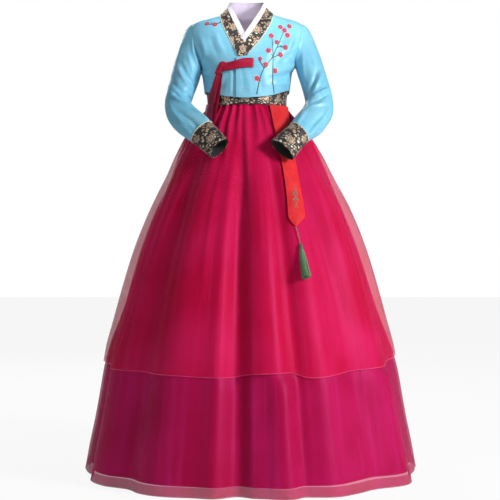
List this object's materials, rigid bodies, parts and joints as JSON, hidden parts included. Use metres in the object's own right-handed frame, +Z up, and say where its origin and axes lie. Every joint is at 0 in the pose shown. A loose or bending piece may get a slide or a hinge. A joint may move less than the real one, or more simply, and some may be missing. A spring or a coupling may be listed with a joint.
{
  "type": "korean hanbok",
  "caption": "Worn woman's hanbok, hollow: short wrapped jacket with brocade collar and cuffs over a full two-tier gathered skirt, with ribbon, sash and tassel.",
  "frame": {"origin": "between the wearer's shoulders, where the neckline meets the shoulder seams", "axes": "+X to the wearer's left, -Y to the front, +Z up"},
  "size_m": [0.9455, 0.9141, 1.3655],
  "materials": {
    "jacket_silk": "soft satin silk",
    "brocade": "black silk brocaded with gold and copper thread",
    "white_cotton": "crisp matte",
    "lining_silk": "soft satin silk",
    "organza": "sheer crisp organza",
    "skirt_satin": "satin",
    "ribbon_silk": "satin silk",
    "sash_silk": "satin silk",
    "tassel_thread": "silk thread"
  },
  "bodies": {
    "root": {"jeogori_front_left": "jacket_silk", "jeogori_front_right": "jacket_silk", "jeogori_back_left": "jacket_silk", "jeogori_back_right": "jacket_silk", "sleeve_left_upper": "jacket_silk", "sleeve_left_lower": "jacket_silk", "sleeve_right_upper": "jacket_silk", "sleeve_right_lower": "jacket_silk", "collar_band": "brocade", "cuff_left": "brocade", "cuff_right": "brocade", "chima_waistband": "brocade", "collar_strip": "white_cotton", "neck_lining": "lining_silk", "skirt_short": "organza", "skirt_long": "organza", "skirt_lining": "skirt_satin", "ribbon_loop": "ribbon_silk", "ribbon_knot": "ribbon_silk", "ribbon_tail_long": "ribbon_silk", "ribbon_tail_short": "ribbon_silk", "sash": "sash_silk", "sash_cord": "tassel_thread", "tassel": "tassel_thread"}
  },
  "joints": []
}
